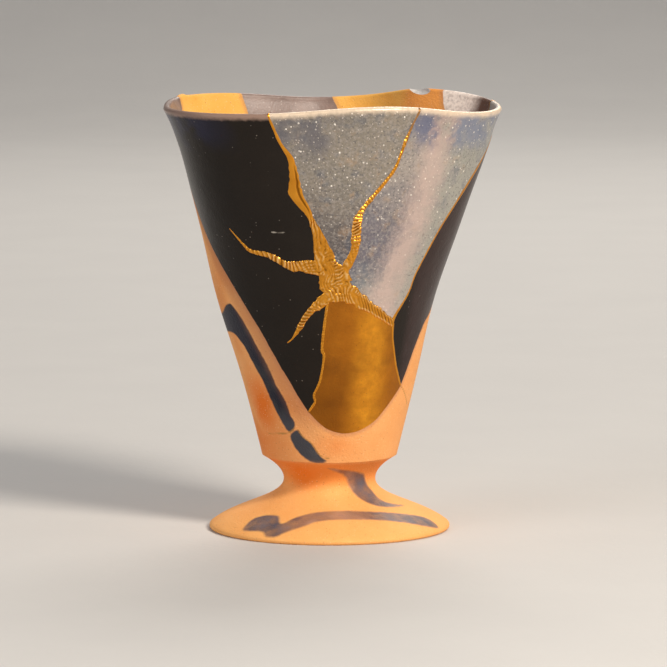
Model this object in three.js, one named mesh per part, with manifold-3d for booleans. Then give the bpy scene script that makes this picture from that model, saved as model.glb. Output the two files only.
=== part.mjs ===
// A mended goblet of thrown and fired clay.
// A wide thin foot and a short neck carry a conical bowl whose rim swells out in three soft lobes.
// The front of the bowl is broken out and mended: two glazed pieces and one gilded piece sit in the
// opening, and a network of gold seams holds them.
//
// Millimetres, +Z up. The origin is the middle of the foot's underside, and the front faces -Y.
// An azimuth is 0 degrees at the front and grows towards +X.
// A height on the bowl's wall is a share, from 0 at the shoulder to 1 at the rim.

import * as THREE from 'three';
import { mergeVertices } from 'three/addons/utils/BufferGeometryUtils.js';
import Module from 'manifold-3d';

const wasm = await Module();
wasm.setup();

// Driving dimensions
const rimHeight = 115.7;
const rimRadius = 41.5;
const shoulderHeight = 20.2;
const shoulderRadius = 18.3;
const neckHeight = 13.5;
const neckRadius = 12.4;
const footRadius = 32.6;
const footEdgeRadius = 0.8;
const footEdgeTurn = 50;
const wallThickness = 2.8;
const lipThickness = 1.9;
const bowlFloorHeight = 19.2;
const floorRounding = 8.0;
const floorTuck = 2.0;
const seamProud = 0.35;
const pieceGap = 0.3;

// The foot's dome sweeps in to the neck. Its bend points are shares of the way from the neck's
// radius to the foot's and of the neck's height.
const footBend = { spread: 0.67, height: 0.48 };
const neckBend = { spread: 0, height: 0.62 };

// How finely the turned form is divided
const azimuthSteps = 56;
const footEdgeSteps = 3;
const footSteps = 7;
const neckSteps = 4;
const wallSteps = 9;
const flareSteps = 3;
const lipSteps = 4;
const floorSteps = 3;

// The bowl is not round. Its plan and the height of its rim wave around the azimuth, and both
// waves fade down the wall with the square of the height share.
const planWaves = [
  { count: 1, swing: 3.5, peak: -50 },
  { count: 2, swing: 3.0, peak: -89 },
  { count: 3, swing: 2.4, peak: -45 },
  { count: 4, swing: 0.8, peak: -10 },
  { count: 5, swing: 2.0, peak: 24 },
];
const rimWaves = [
  { count: 1, swing: 0.6, peak: 23 },
  { count: 2, swing: 0.32, peak: -40 },
  { count: 3, swing: 1.08, peak: 9 },
  { count: 4, swing: 0.65, peak: 34 },
];
// Half way up the wall leans a little to the left, and near the rim a little to the right.
const leans = [
  { towards: -90, push: 1.2, height: 0.45, spread: 0.17 },
  { towards: 90, push: 0.5, height: 0.87, spread: 0.1 },
];
// Close to the rim the wall flares out by a hair more.
const rimFlare = { push: 0.6, start: 0.93, spread: 0.035 };

// The gold seams, as points of [azimuth, height share, width]
const aboveRim = 1.04;
const leftSeam = [
  [-23.3, aboveRim, 0.8], [-22.2, 1.0, 0.8], [-19.4, 0.922, 1.0], [-15.9, 0.875, 1.4],
  [-15.1, 0.847, 2.0], [-14.6, 0.81, 2.6], [-14.7, 0.782, 3.4], [-13.1, 0.755, 3.1],
  [-9.9, 0.723, 2.0], [-8.2, 0.698, 1.6], [-6.5, 0.671, 2.4], [-4.7, 0.64, 3.8], [-3.3, 0.605, 4.8],
  [-1.0, 0.57, 5.4], [1.5, 0.538, 7.8], [3.0, 0.509, 8.0], [5.0, 0.487, 6.0],
];
const middleSeam = [
  [37.5, aboveRim, 0.7], [36.6, 0.998, 0.7], [33.6, 0.94, 0.7], [31.8, 0.906, 1.2],
  [30.2, 0.869, 0.8], [28.5, 0.834, 0.9], [24.9, 0.798, 1.0], [19.1, 0.752, 1.2],
  [15.6, 0.725, 1.4], [13.5, 0.701, 2.2], [12.8, 0.676, 2.7], [12.6, 0.618, 2.6],
  [11.3, 0.591, 2.4], [9.2, 0.568, 2.4], [8.0, 0.552, 2.2], [8.0, 0.522, 4.0],
];
const rightSeam = [
  [38.5, 0.394, 1.4], [41.2, 0.422, 1.0], [45.5, 0.454, 0.7], [49.0, 0.487, 0.6], [50.8, 0.53, 0.6],
  [55.4, 0.588, 0.6], [61.7, 0.665, 0.6], [68.3, 0.731, 0.8], [72.5, 0.775, 1.1],
  [77.0, 0.823, 1.1], [82.0, 0.87, 0.7], [91.0, 0.936, 0.6], [100.0, aboveRim, 0.6],
];
const crossSeam = [
  [3.0, 0.505, 7.5], [8.5, 0.491, 6.0], [13.5, 0.476, 4.2], [17.9, 0.46, 3.6], [22.1, 0.447, 2.9],
  [28.0, 0.43, 2.7], [33.8, 0.412, 2.2], [39.8, 0.395, 1.9],
];
const leftBranch = [
  [-45.5, 0.67, 0.6], [-39.6, 0.624, 0.8], [-36.5, 0.608, 1.0], [-29.5, 0.6, 1.5],
  [-24.8, 0.586, 1.6], [-21.7, 0.574, 1.8], [-17.4, 0.567, 2.6], [-13.7, 0.568, 2.9],
  [-6.0, 0.562, 4.0], [0.0, 0.559, 4.6],
];
const lowerBranch = [
  [-24.6, 0.347, 0.6], [-21.0, 0.362, 0.8], [-16.3, 0.395, 1.5], [-13.2, 0.421, 1.5],
  [-8.8, 0.446, 1.8], [-5.8, 0.457, 2.9], [-2.0, 0.475, 3.0], [3.0, 0.494, 4.0],
];
const patchLeftEdge = [
  [-0.5, 0.477, 0.8], [-2.4, 0.413, 0.7], [-4.4, 0.331, 0.7], [-3.3, 0.308, 0.6],
  [-6.1, 0.239, 0.6], [-10.4, 0.198, 0.6], [-9.9, 0.177, 0.6], [-14.9, 0.148, 0.6],
];
const patchRightEdge = [
  [40.0, 0.396, 0.8], [41.0, 0.359, 0.6], [43.2, 0.324, 0.6], [47.6, 0.272, 0.6],
  [52.3, 0.236, 0.6], [56.2, 0.211, 0.6],
];
// The lower end of the gilded piece is a round tongue, which follows the glaze line.
const patchTongue = [
  [-14.9, 0.148], [-9.8, 0.125], [-2.6, 0.101], [6.5, 0.088], [15.3, 0.086], [24.8, 0.095],
  [35.5, 0.118], [44.8, 0.156], [56.2, 0.211],
];

const clayColour = 0xb5672f;
const blueGlazeColour = 0x747d84;
const matteGoldColour = 0xa8741f;
const brightGoldColour = 0xd4922b;

function radians(degrees) {
  return THREE.MathUtils.degToRad(degrees);
}

function sumOfWaves(waves, azimuth) {
  return waves.reduce(
    (sum, wave) => sum + wave.swing * Math.cos(wave.count * (azimuth - radians(wave.peak))),
    0,
  );
}

function heightAtShare(share) {
  return shoulderHeight + share * (rimHeight - shoulderHeight);
}

function shareAtHeight(height) {
  return (height - shoulderHeight) / (rimHeight - shoulderHeight);
}

// Radius of the wall's outside before the waves and the leans are applied
function wallRadius(share) {
  const flare = rimFlare.push * Math.exp(-(((share - 1) / rimFlare.spread) ** 2));
  return shoulderRadius + share * (rimRadius - shoulderRadius) + flare;
}

// Distance of the wall's inside from its outside. The wall thins evenly towards the lip.
function thicknessAt(share) {
  return THREE.MathUtils.lerp(wallThickness, lipThickness, share);
}

// How far the leans push the wall out at an azimuth and a height share
function leanPush(azimuth, share) {
  return leans.reduce((sum, { towards, push, height, spread }) => {
    const bell = Math.exp(-(((share - height) / spread) ** 2));
    return sum + push * bell * Math.cos(azimuth - radians(towards));
  }, 0);
}

// Moves a point of the round form to its place on the lobed and leaning bowl.
function lobedPoint(radius, azimuth, height) {
  const share = shareAtHeight(height);
  const growth = Math.max(share, 0) ** 2;
  const movedRadius = radius + growth * sumOfWaves(planWaves, azimuth) + leanPush(azimuth, share);
  return new THREE.Vector3(
    movedRadius * Math.sin(azimuth),
    -movedRadius * Math.cos(azimuth),
    height + growth * sumOfWaves(rimWaves, azimuth),
  );
}

// Height shares at which the lip's rounding starts and the bowl's floor rounding ends
const lipShare = shareAtHeight(rimHeight - lipThickness / 2);
const roundingShare = shareAtHeight(bowlFloorHeight + floorRounding);

// Points of a curve from its start, without its last point unless asked for
function curvePoints(curve, steps, withLast = false) {
  const points = curve.getPoints(steps);
  return withLast ? points : points.slice(0, -1);
}

// Height shares of the wall's rows from the lowest one up to the lip, close together in the flare
function wallShares(lowest) {
  const evenly = (from, to, steps) => (
    Array.from({ length: steps }, (_, step) => THREE.MathUtils.lerp(from, to, step / steps))
  );
  return [
    ...evenly(lowest, rimFlare.start, wallSteps), ...evenly(rimFlare.start, lipShare, flareSteps), lipShare,
  ];
}

// Points of the wall's outside, grown by a distance, from the lowest share up to the lip
function outerWall(lowest, grow) {
  return wallShares(lowest).map((share) => (
    new THREE.Vector2(wallRadius(share) + grow, heightAtShare(share))
  ));
}

// Points of the wall's inside, grown by a distance, from the lip down to the lowest share
function innerWall(lowest, grow) {
  return wallShares(lowest).reverse().map((share) => (
    new THREE.Vector2(wallRadius(share) - thicknessAt(share) - grow, heightAtShare(share))
  ));
}

// The rounded lip, from the outside over the top to the inside, without its two ends
function lip(grow) {
  const halfWall = thicknessAt(lipShare) / 2;
  const curve = new THREE.EllipseCurve(
    wallRadius(lipShare) - halfWall, heightAtShare(lipShare),
    halfWall + grow, lipThickness / 2 + grow, 0, Math.PI,
  );
  return curve.getPoints(lipSteps).slice(1, -1);
}

// Half the outline of the whole goblet, from the middle of the underside to the bowl's floor
function gobletProfile() {
  const edge = new THREE.EllipseCurve(
    footRadius - footEdgeRadius, footEdgeRadius, footEdgeRadius, footEdgeRadius,
    radians(-90), radians(footEdgeTurn),
  );
  const neck = new THREE.Vector2(neckRadius, neckHeight);
  const bendPoint = ({ spread, height }) => new THREE.Vector2(
    THREE.MathUtils.lerp(neckRadius, footRadius, spread),
    height * neckHeight,
  );
  const foot = new THREE.CubicBezierCurve(
    edge.getPoint(1), bendPoint(footBend), bendPoint(neckBend), neck,
  );
  const underBowl = new THREE.QuadraticBezierCurve(
    neck,
    new THREE.Vector2(neckRadius, (neckHeight + shoulderHeight) / 2),
    new THREE.Vector2(shoulderRadius, shoulderHeight),
  );
  const inside = innerWall(roundingShare, 0);
  const innerFoot = inside.pop();
  const floor = new THREE.QuadraticBezierCurve(
    innerFoot,
    new THREE.Vector2(innerFoot.x - floorTuck, bowlFloorHeight),
    new THREE.Vector2(0, bowlFloorHeight),
  );
  return [
    new THREE.Vector2(0, 0),
    ...curvePoints(edge, footEdgeSteps),
    ...curvePoints(foot, footSteps),
    ...curvePoints(underBowl, neckSteps),
    ...outerWall(0, 0),
    ...lip(0),
    ...inside,
    ...curvePoints(floor, floorSteps, true),
  ];
}

// The closed outline of the wall grown on every side by the height of the seams
function grownWallProfile() {
  const outside = outerWall(roundingShare, seamProud);
  return [...outside, ...lip(seamProud), ...innerWall(roundingShare, seamProud), outside[0]];
}

// Turns a closed mesh into a solid. Triangles that have shrunk to a line are dropped.
function solidFromGeometry(geometry) {
  geometry.deleteAttribute('normal');
  geometry.deleteAttribute('uv');
  const merged = mergeVertices(geometry, 1e-4);
  const corners = Array.from(merged.index.array);
  const kept = [];
  for (let i = 0; i < corners.length; i += 3) {
    const [a, b, c] = corners.slice(i, i + 3);
    if (a !== b && b !== c && c !== a) {
      kept.push(a, b, c);
    }
  }
  return new wasm.Manifold(new wasm.Mesh({
    numProp: 3,
    vertProperties: Float32Array.from(merged.attributes.position.array),
    triVerts: Uint32Array.from(kept),
  }));
}

// A turned form, bent into the lobed and leaning bowl
function turnedSolid(profile) {
  const geometry = new THREE.LatheGeometry(profile, azimuthSteps);
  const position = geometry.attributes.position;
  const rowCount = profile.length;
  for (let i = 0; i < position.count; i += 1) {
    const { x: radius, y: height } = profile[i % rowCount];
    const step = Math.floor(i / rowCount) % azimuthSteps;
    const azimuth = (2 * Math.PI * step) / azimuthSteps;
    const place = radius < 1e-6 ? new THREE.Vector3(0, 0, height) : lobedPoint(radius, azimuth, height);
    position.setXYZ(i, place.x, place.y, place.z);
  }
  return solidFromGeometry(geometry);
}

// Distances from the wall's outer face at which the blocks that cut the wall have their corners.
// The far one clears the wall also where a block spans a wide azimuth.
const cutMargin = 1.5;
const insideReach = -(wallThickness + seamProud + cutMargin);
const outsideReach = seamProud + cutMargin;
const farReach = 35;
// The widest step in degrees between two points of an opening's outline
const widestStep = 4.5;

// Adds points to an outline of [azimuth, height share] so that no step turns too far.
function refined(outline, closed) {
  return outline.flatMap(([azimuth, share], i) => {
    if (!closed && i + 1 === outline.length) {
      return [[azimuth, share]];
    }
    const [nextAzimuth, nextShare] = outline[(i + 1) % outline.length];
    const steps = Math.max(1, Math.ceil(Math.abs(nextAzimuth - azimuth) / widestStep));
    return Array.from({ length: steps }, (_, step) => [
      THREE.MathUtils.lerp(azimuth, nextAzimuth, step / steps),
      THREE.MathUtils.lerp(share, nextShare, step / steps),
    ]);
  });
}

// Closes a radial block from rings of corners around an outline, the innermost ring first, and
// from the triangles that fill the outline, which run anticlockwise as seen from outside.
function closedBlock(outline, reaches, fill) {
  const count = outline.length;
  const corners = reaches.flatMap((reach) => outline.map(([azimuth, share]) => (
    lobedPoint(wallRadius(share) + reach, radians(azimuth), heightAtShare(share))
  )));
  const outermost = count * (reaches.length - 1);
  const triangles = [];
  for (const [a, b, c] of fill) {
    triangles.push(outermost + a, outermost + b, outermost + c, c, b, a);
  }
  for (let ring = 0; ring < outermost; ring += count) {
    for (let i = 0; i < count; i += 1) {
      const next = (i + 1) % count;
      triangles.push(ring + i, ring + next, ring + count + next);
      triangles.push(ring + i, ring + count + next, ring + count + i);
    }
  }
  const geometry = new THREE.BufferGeometry().setFromPoints(corners);
  geometry.setIndex(triangles);
  return solidFromGeometry(geometry);
}

// A radial block through the wall over an outline that runs anticlockwise as seen from outside
function blockThroughWall(outline) {
  const edge = refined(outline, true);
  const flat = edge.map(([azimuth, share]) => (
    new THREE.Vector2(radians(azimuth) * rimRadius, heightAtShare(share))
  ));
  const fill = THREE.ShapeUtils.triangulateShape(flat, []);
  return closedBlock(edge, [insideReach, outsideReach, farReach], fill);
}

// Left and right side points of a seam, square to its run. An extra margin moves them out, and at
// the seam's two ends it also moves them on along the run.
function seamSides(seam, margin) {
  return seam.map(([azimuth, share, width], i) => {
    const [fromAzimuth, fromShare] = seam[Math.max(i - 1, 0)];
    const [toAzimuth, toShare] = seam[Math.min(i + 1, seam.length - 1)];
    const millimetresPerDegree = radians(1) * wallRadius(share);
    const millimetresPerShare = rimHeight - shoulderHeight;
    const run = new THREE.Vector2(
      (toAzimuth - fromAzimuth) * millimetresPerDegree,
      (toShare - fromShare) * millimetresPerShare,
    ).normalize();
    const half = width / 2 + margin;
    const isFirst = i === 0;
    const isLast = i === seam.length - 1;
    const along = (isLast ? margin : 0) - (isFirst ? margin : 0);
    const side = (sign) => [
      azimuth + (run.x * along - sign * run.y * half) / millimetresPerDegree,
      share + (run.y * along + sign * run.x * half) / millimetresPerShare,
    ];
    return { left: side(1), right: side(-1) };
  });
}

// A seam as one radial block, filled from point to point along its run
function seamBlock(seam, margin) {
  const sides = seamSides(seam, margin);
  const count = sides.length;
  const outline = [
    ...sides.map(({ right }) => right),
    ...sides.map(({ left }) => left).reverse(),
  ];
  const fill = [];
  for (let i = 0; i + 1 < count; i += 1) {
    const left = 2 * count - 1 - i;
    fill.push([i, i + 1, left - 1], [i, left - 1, left]);
  }
  return closedBlock(outline, [insideReach, outsideReach], fill);
}

function joined(solids) {
  return solids.reduce((sum, solid) => sum.add(solid));
}

const seams = [
  leftSeam, middleSeam, rightSeam, crossSeam, leftBranch, lowerBranch, patchLeftEdge, patchRightEdge,
];

function seamNetwork(margin) {
  return joined(seams.map((seam) => seamBlock(seam, margin)));
}

function middleLine(seam) {
  return seam.map(([azimuth, share]) => [azimuth, share]);
}

// The three openings that the mended pieces fill. Each outline runs along the middle of its seams.
function middleOpening() {
  return blockThroughWall([...middleLine(leftSeam), ...middleLine(middleSeam).reverse()]);
}

function rightOpening() {
  return blockThroughWall([
    ...middleLine(middleSeam), ...middleLine(crossSeam).slice(1), ...middleLine(rightSeam).slice(1),
  ]);
}

function patchOpening() {
  return blockThroughWall([
    ...middleLine(patchLeftEdge), ...patchTongue.slice(1, -1),
    ...middleLine(patchRightEdge).reverse(), ...middleLine(crossSeam).slice(1, -1).reverse(),
  ]);
}

// The strip that keeps the gilded piece off the body along its round lower end
function tongueGap() {
  const strip = refined(patchTongue, false).map(([azimuth, share]) => [azimuth, share, 0]);
  return seamBlock(strip, pieceGap);
}

function meshFromSolid(name, solid, colour, roughness, metalness) {
  const { vertProperties, triVerts } = solid.getMesh();
  const geometry = new THREE.BufferGeometry();
  geometry.setAttribute('position', new THREE.BufferAttribute(vertProperties, 3));
  geometry.setIndex(new THREE.BufferAttribute(triVerts, 1));
  geometry.computeVertexNormals();
  const material = new THREE.MeshStandardMaterial({ color: colour, roughness, metalness });
  const mesh = new THREE.Mesh(geometry, material);
  mesh.name = name;
  return mesh;
}

const wholeGoblet = turnedSolid(gobletProfile());
const seamRoom = seamNetwork(pieceGap);

function gobletBody() {
  const openings = joined([middleOpening(), rightOpening(), patchOpening(), seamRoom]);
  return meshFromSolid('goblet_body', wholeGoblet.subtract(openings), clayColour, 0.7, 0);
}

function blueShardMiddle() {
  const shard = wholeGoblet.intersect(middleOpening()).subtract(seamRoom);
  return meshFromSolid('blue_shard_middle', shard, blueGlazeColour, 0.3, 0);
}

function blueShardRight() {
  const shard = wholeGoblet.intersect(rightOpening()).subtract(seamRoom);
  return meshFromSolid('blue_shard_right', shard, blueGlazeColour, 0.3, 0);
}

function goldPatch() {
  const patch = wholeGoblet.intersect(patchOpening()).subtract(seamRoom).subtract(tongueGap());
  return meshFromSolid('gold_patch', patch, matteGoldColour, 0.5, 1);
}

function goldVeins() {
  const veins = turnedSolid(grownWallProfile()).intersect(seamNetwork(0));
  return meshFromSolid('gold_veins', veins, brightGoldColour, 0.35, 1);
}

const goblet = new THREE.Group();
goblet.add(gobletBody(), blueShardMiddle(), blueShardRight(), goldPatch(), goldVeins());

export default goblet;
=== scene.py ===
import math

import bpy
import numpy as np
from mathutils import Matrix, Vector
from mathutils.geometry import tessellate_polygon


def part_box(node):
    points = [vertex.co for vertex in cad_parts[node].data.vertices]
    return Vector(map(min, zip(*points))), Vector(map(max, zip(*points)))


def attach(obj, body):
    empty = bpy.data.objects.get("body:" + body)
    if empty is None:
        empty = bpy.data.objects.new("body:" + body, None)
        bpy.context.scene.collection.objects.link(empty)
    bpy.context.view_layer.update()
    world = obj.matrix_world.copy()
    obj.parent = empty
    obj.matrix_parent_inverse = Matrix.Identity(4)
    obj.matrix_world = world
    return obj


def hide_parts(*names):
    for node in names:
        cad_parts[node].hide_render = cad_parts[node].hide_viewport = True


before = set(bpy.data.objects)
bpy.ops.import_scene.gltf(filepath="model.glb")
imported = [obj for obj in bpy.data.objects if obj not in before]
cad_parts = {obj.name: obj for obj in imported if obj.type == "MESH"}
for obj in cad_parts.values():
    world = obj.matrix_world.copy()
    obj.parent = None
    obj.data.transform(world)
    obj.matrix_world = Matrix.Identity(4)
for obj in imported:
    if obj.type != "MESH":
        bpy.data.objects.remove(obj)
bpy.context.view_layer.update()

# The goblet's form, as in the CAD model
RIM_HEIGHT = 115.7
RIM_RADIUS = 41.5
SHOULDER_HEIGHT = 20.2
SHOULDER_RADIUS = 18.3
NECK_HEIGHT = 13.5
NECK_RADIUS = 12.4
FOOT_RADIUS = 32.6
FOOT_EDGE_RADIUS = 0.8
FOOT_EDGE_TURN = 50
WALL_THICKNESS = 2.8
LIP_THICKNESS = 1.9
FLOOR_HEIGHT = 19.2
FLOOR_ROUNDING = 8.0
FLOOR_TUCK = 2.0
# Gold stands out of the wall by this at most.
SEAM_PROUD = 0.31
# The foot's curve leaves the edge and reaches the neck along these, as shares of (way out, height).
FOOT_BEND = (0.67, 0.48)
NECK_BEND = (0.0, 0.62)
WALL_RISE = RIM_HEIGHT - SHOULDER_HEIGHT
# The turned surface stays this far inside the CAD solid's corners.
INSET = 0.06
# Rings that the thrower's fingers leave inside, as (spacing, height)
THROWING_RINGS = (5.5, 0.12)
# The wall's radius half way up, for lengths along outlines
MEAN_RADIUS = 30
# A distance that stands for out of reach
FAR = 9.0
# Cutting blocks have corners at these distances outwards from the wall's outer face.
CUT_REACHES = [-(WALL_THICKNESS + 2), 0.5, 2.0, 35.0]

# Waves as (count, swing, azimuth of the peak)
PLAN_WAVES = [(1, 3.5, -50), (2, 3.0, -89), (3, 2.4, -45), (4, 0.8, -10), (5, 2.0, 24)]
RIM_WAVES = [(1, 0.6, 23), (2, 0.32, -40), (3, 1.08, 9), (4, 0.65, 34)]
# Leans as (azimuth, push, height share, spread)
LEANS = [(-90, 1.2, 0.45, 0.17), (90, 0.5, 0.87, 0.1)]
# The flare close to the rim as (push, spread)
RIM_FLARE = (0.6, 0.035)

# Gold seams as points of (azimuth, height share, width)
ABOVE_RIM = 1.04
LEFT_SEAM = [
    (-23.3, ABOVE_RIM, 0.8), (-22.2, 1.0, 0.8), (-19.4, 0.922, 1.0), (-15.9, 0.875, 1.4),
    (-15.1, 0.847, 2.0), (-14.6, 0.81, 2.6), (-14.7, 0.782, 3.4), (-13.1, 0.755, 3.1),
    (-9.9, 0.723, 2.0), (-8.2, 0.698, 1.6), (-6.5, 0.671, 2.4), (-4.7, 0.64, 3.8),
    (-3.3, 0.605, 4.8), (-1.0, 0.57, 5.4), (1.5, 0.538, 7.8), (3.0, 0.509, 8.0), (5.0, 0.487, 6.0),
]
MIDDLE_SEAM = [
    (37.5, ABOVE_RIM, 0.7), (36.6, 0.998, 0.7), (33.6, 0.94, 0.7), (31.8, 0.906, 1.2),
    (30.2, 0.869, 0.8), (28.5, 0.834, 0.9), (24.9, 0.798, 1.0), (19.1, 0.752, 1.2),
    (15.6, 0.725, 1.4), (13.5, 0.701, 2.2), (12.8, 0.676, 2.7), (12.6, 0.618, 2.6),
    (11.3, 0.591, 2.4), (9.2, 0.568, 2.4), (8.0, 0.552, 2.2), (8.0, 0.522, 4.0),
]
RIGHT_SEAM = [
    (38.5, 0.394, 1.4), (41.2, 0.422, 1.0), (45.5, 0.454, 0.7), (49.0, 0.487, 0.6),
    (50.8, 0.53, 0.6), (55.4, 0.588, 0.6), (61.7, 0.665, 0.6), (68.3, 0.731, 0.8),
    (72.5, 0.775, 1.1), (77.0, 0.823, 1.1), (82.0, 0.87, 0.7), (91.0, 0.936, 0.6),
    (100.0, ABOVE_RIM, 0.6),
]
CROSS_SEAM = [
    (3.0, 0.505, 7.5), (8.5, 0.491, 6.0), (13.5, 0.476, 4.2), (17.9, 0.46, 3.6), (22.1, 0.447, 2.9),
    (28.0, 0.43, 2.7), (33.8, 0.412, 2.2), (39.8, 0.395, 1.9),
]
LEFT_BRANCH = [
    (-45.5, 0.67, 0.6), (-39.6, 0.624, 0.8), (-36.5, 0.608, 1.0), (-29.5, 0.6, 1.5),
    (-24.8, 0.586, 1.6), (-21.7, 0.574, 1.8), (-17.4, 0.567, 2.6), (-13.7, 0.568, 2.9),
    (-6.0, 0.562, 4.0), (0.0, 0.559, 4.6),
]
LOWER_BRANCH = [
    (-24.6, 0.347, 0.6), (-21.0, 0.362, 0.8), (-16.3, 0.395, 1.5), (-13.2, 0.421, 1.5),
    (-8.8, 0.446, 1.8), (-5.8, 0.457, 2.9), (-2.0, 0.475, 3.0), (3.0, 0.494, 4.0),
]
PATCH_LEFT_EDGE = [
    (-0.5, 0.477, 0.8), (-2.4, 0.413, 0.7), (-4.4, 0.331, 0.7), (-3.3, 0.308, 0.6),
    (-6.1, 0.239, 0.6), (-10.4, 0.198, 0.6), (-9.9, 0.177, 0.6), (-14.9, 0.148, 0.6),
]
PATCH_RIGHT_EDGE = [
    (40.0, 0.396, 0.8), (41.0, 0.359, 0.6), (43.2, 0.324, 0.6), (47.6, 0.272, 0.6),
    (52.3, 0.236, 0.6), (56.2, 0.211, 0.6),
]
SEAMS = {
    "left": LEFT_SEAM, "middle": MIDDLE_SEAM, "right": RIGHT_SEAM, "cross": CROSS_SEAM,
    "left_branch": LEFT_BRANCH, "lower_branch": LOWER_BRANCH,
    "patch_left": PATCH_LEFT_EDGE, "patch_right": PATCH_RIGHT_EDGE,
}
# Folds of each seam: their spacing along it and across it, and their height
FOLDS = {
    "left": (6.0, 0.9, 0.12), "middle": (0.9, 2.6, 0.13), "right": (1.0, 1.0, 0.0),
    "cross": (1.3, 0.9, 0.10), "left_branch": (1.2, 2.6, 0.14), "lower_branch": (1.1, 2.4, 0.13),
    "patch_left": (0.75, 8.0, 0.22), "patch_right": (1.0, 1.0, 0.0),
}
# The wide gold where the seams meet, as (azimuth, height share, half width, half height)
WIDE_GOLD = (2, 0.54, 7.5, 11)
# The cross seam has this many smoothed points under the seams at each of its ends.
CROSS_END_POINTS = 4
# Gold laps this far over the edges of the broken pieces.
GOLD_LAP = 0.15
# The crown of the gold: its height, how far in from the edge it rounds off, and the edge's slope
SEAM_CROWN = 0.16
CROWN_EDGE = 0.25
EDGE_SLOPE = 0.68
# Ranges of azimuth where the gold is worn just below the rim
WORN_GOLD = [(29, 45), (85, 104)]
# The rounded lower end of the gilded piece
PATCH_TONGUE = [
    (-14.9, 0.148), (-9.8, 0.125), (-2.6, 0.101), (6.5, 0.088), (15.3, 0.086), (24.8, 0.095),
    (35.5, 0.118), (44.8, 0.156), (56.2, 0.211),
]
# Azimuth of the line of painted highlight down the gilded piece
PATCH_HIGHLIGHT_AZIMUTH = 27

# Borders of the glaze and of the brush strokes as (azimuth, height share)
GLAZE_LEFT_BORDER = [
    (-112.0, 1.06), (-110.5, 0.99), (-107.5, 0.96), (-103.0, 0.915), (-94.0, 0.85), (-83.0, 0.79),
    (-76.0, 0.735), (-70.0, 0.67), (-65.0, 0.622), (-58.0, 0.56), (-53.0, 0.515), (-48.6, 0.471),
    (-44.3, 0.424), (-40.3, 0.381), (-35.9, 0.328), (-31.8, 0.282), (-26.1, 0.231), (-22.1, 0.196),
    (-17.7, 0.165), (-15.2, 0.148),
]
GLAZE_RIGHT_BORDER = [
    (56.2, 0.213), (60.3, 0.258), (64.0, 0.304), (68.2, 0.345), (73.5, 0.386), (80.5, 0.41),
    (88.0, 0.45), (95.0, 0.53), (102.0, 0.67), (110.0, 0.83), (116.5, 0.945), (118.5, 0.98),
    (121.0, 1.06),
]
BACK_GLAZE = [
    (181.0, 1.06), (178.8, 0.997), (176.4, 0.96), (176.5, 0.88), (179.0, 0.78), (184.0, 0.618),
    (191.0, 0.418), (197.0, 0.359), (203.0, 0.429), (210.0, 0.629), (215.0, 0.82), (217.5, 0.94),
    (218.6, 1.0), (219.5, 1.06),
]
UPPER_STROKE = [
    (-26.3, 0.106), (-29.4, 0.143), (-31.6, 0.179), (-36.8, 0.222), (-40.2, 0.273), (-45.1, 0.329),
    (-48.7, 0.377), (-52.7, 0.418), (-58.3, 0.447), (-64.0, 0.44), (-74.0, 0.415), (-88.0, 0.403),
    (-106.0, 0.408), (-128.0, 0.439), (-108.0, 0.368), (-88.0, 0.353), (-72.0, 0.358),
    (-64.0, 0.354), (-57.4, 0.326), (-52.9, 0.276), (-48.0, 0.232), (-44.8, 0.187), (-39.8, 0.133),
    (-32.7, 0.086),
]
LOWER_STROKE = [
    (-24.6, 0.094), (-20.7, 0.074), (-14.3, 0.056), (-8.2, 0.023), (-1.7, 0.002),
    (-15.3, 0.001), (-24.0, 0.021), (-29.4, 0.046), (-31.8, 0.076),
]
# Brush strokes lower down as (azimuth, height)
NECK_STROKE = [
    (-1.5, 18.4), (4.8, 17.4), (18.1, 15.7), (25.6, 12.4), (29.5, 10.8), (35.1, 9.0), (43.2, 7.8),
    (56.1, 7.2), (72.2, 6.95), (60.8, 7.9), (55.6, 9.0), (58.2, 10.9), (54.8, 12.5), (44.6, 15.8),
    (17.7, 17.6),
]
FOOT_STROKE = [
    (-49.6, 2.8), (-50.8, 4.9), (-44.3, 5.9), (-34.8, 5.9), (-28.5, 4.6), (-22.9, 5.9), (-12.9, 7.0),
    (-0.3, 7.4), (13.8, 7.45), (27.6, 7.1), (41.5, 6.6), (54.8, 5.8), (66.9, 4.5), (69.5, 3.2),
    (67.0, 1.7), (61.2, 2.2), (49.4, 3.8), (35.4, 5.0), (19.4, 5.55), (4.0, 5.65), (-7.7, 5.25),
    (-15.5, 4.1), (-23.0, 2.8), (-26.7, 1.7), (-31.7, 1.6), (-35.3, 2.4), (-39.8, 2.5), (-47.6, 2.2),
]
# Fine cracks as (azimuth, height share)
HAIRLINES = [
    [(-54.5, 0.075), (-41.9, 0.078), (-33.0, 0.084), (-27.0, 0.098)],
    [(-24.6, 0.094), (-20.7, 0.074), (-14.3, 0.056), (-8.2, 0.023), (-0.4, 0.012)],
    [(56.0, 0.212), (62.6, 0.191), (73.5, 0.149)],
]
# A pale crescent mark in the dark glaze
CRESCENT = [(-26.0, 0.666), (-23.5, 0.6615), (-20.6, 0.663)]
# Deep orange spots in the clay as (azimuth, height share, spread across, spread up, strength)
BURNT_SPOTS = [
    (-55, 0.155, 15, 0.085, 1.0), (-33, -0.045, 22, 0.035, 1.2), (4, 0.05, 16, 0.035, 0.35),
    (-60, 0.05, 34, 0.09, 0.5),
]
# Ranges of azimuth that are painted in their own way, as (from, to, softness)
PAINTED_RANGES = {
    "mauve": (-23, 28, 12), "reddish": (52, 118, 6), "bluish": (-150, -45, 25),
    # One of these ranges is a painted glare highlight inside, from azimuth 104 to 145.
    "left_end": (-135, -111, 5), "right_end": (60, 104, 5), "painted_glare": (104, 145, 5),
    "inner_wedge_end": (116, 140, 8), "left_strip": (-100, -12, 20),
}
# A small bump on the rim as (azimuth, spread, height)
RIM_BUMP = (-114.5, 2.4, 0.6)
# A small chip in the rim: its half sizes, and how far below the rim its middle lies
CHIP_AZIMUTH = math.radians(130)
CHIP_SIZE = (4.3, 1.15, 1.4)
CHIP_DROP = 0.2
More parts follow.
